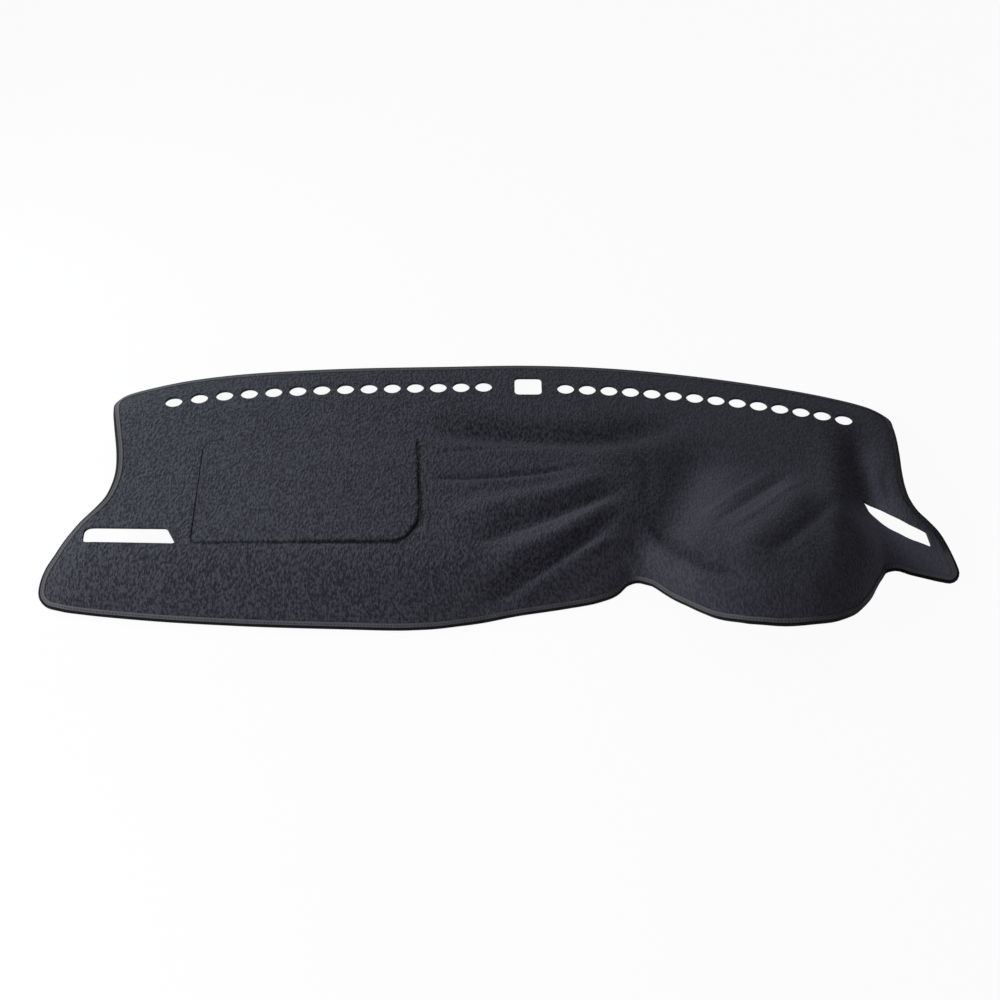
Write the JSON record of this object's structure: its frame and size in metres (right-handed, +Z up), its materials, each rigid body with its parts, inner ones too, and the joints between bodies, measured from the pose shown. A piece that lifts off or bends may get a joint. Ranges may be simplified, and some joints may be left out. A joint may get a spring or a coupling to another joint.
{
  "type": "dashboard cover mat",
  "caption": "Formed carpet dashboard cover with a raised instrument hood, two rows of demister openings, a sensor window, side vent slots, an airbag flap and a taped edge.",
  "frame": {"origin": "middle of the footprint's box, on the surface that the mat rests on", "axes": "+X across the car to the right as seen from the seats, -Y towards the seats, +Z up"},
  "size_m": [1.407, 0.6718, 0.1346],
  "materials": {
    "carpet": "short dense pile, charcoal, matt",
    "binding": "woven tape, dark charcoal, matt"
  },
  "bodies": {
    "root": {"carpet_mat": "carpet", "edge_binding": "binding"}
  },
  "joints": []
}
